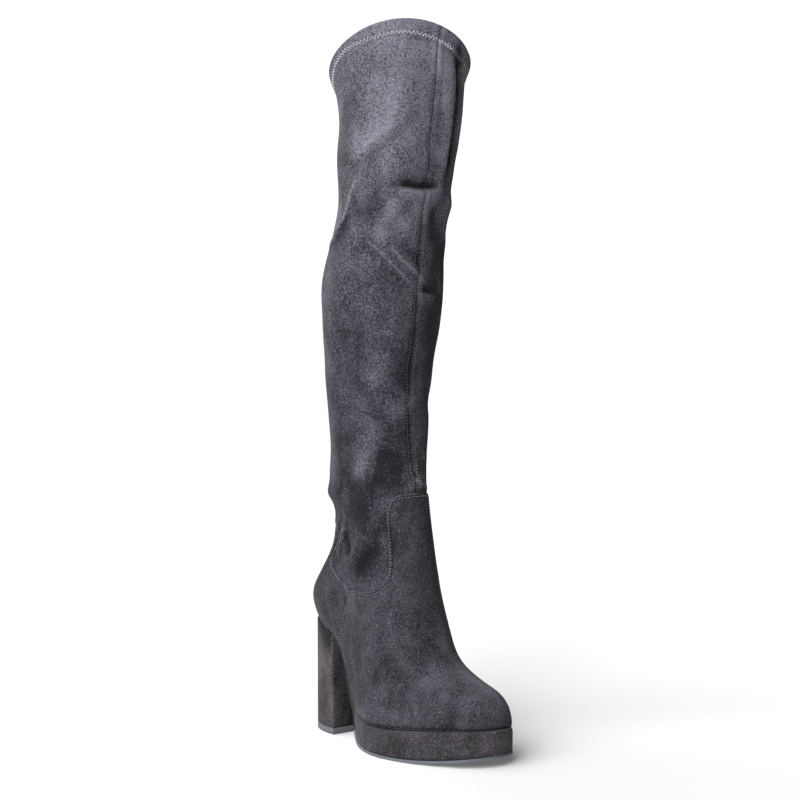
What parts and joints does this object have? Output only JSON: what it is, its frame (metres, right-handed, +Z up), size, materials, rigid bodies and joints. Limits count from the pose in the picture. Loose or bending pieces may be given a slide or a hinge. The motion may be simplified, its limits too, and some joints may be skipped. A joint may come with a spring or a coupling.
{
  "type": "over-the-knee boot",
  "caption": "Tall stretch suede boot, right foot, with a slanted folded hem, overlapping vamp and counter panels, a covered platform and a straight block heel.",
  "frame": {"origin": "on the floor, under the middle of the bounding box", "axes": "+Z up, toe toward -Y, +X toward the inner side of the leg"},
  "size_m": [0.1156, 0.213, 0.5586],
  "materials": {
    "suede_stretch": "napped stretch suede, matt",
    "suede_panel": "napped suede, matt",
    "suede_counter": "napped suede, matt",
    "suede_platform": "suede cover, matt",
    "suede_heel": "suede cover, matt",
    "rubber_outsole": "matt moulded rubber",
    "rubber_lift": "matt moulded rubber",
    "sock_lining": "plain lining"
  },
  "bodies": {
    "root": {"upper": "suede_stretch", "vamp": "suede_panel", "counter": "suede_counter", "platform": "suede_platform", "outsole": "rubber_outsole", "insole": "sock_lining", "heel": "suede_heel", "heel_lift": "rubber_lift"}
  },
  "joints": []
}
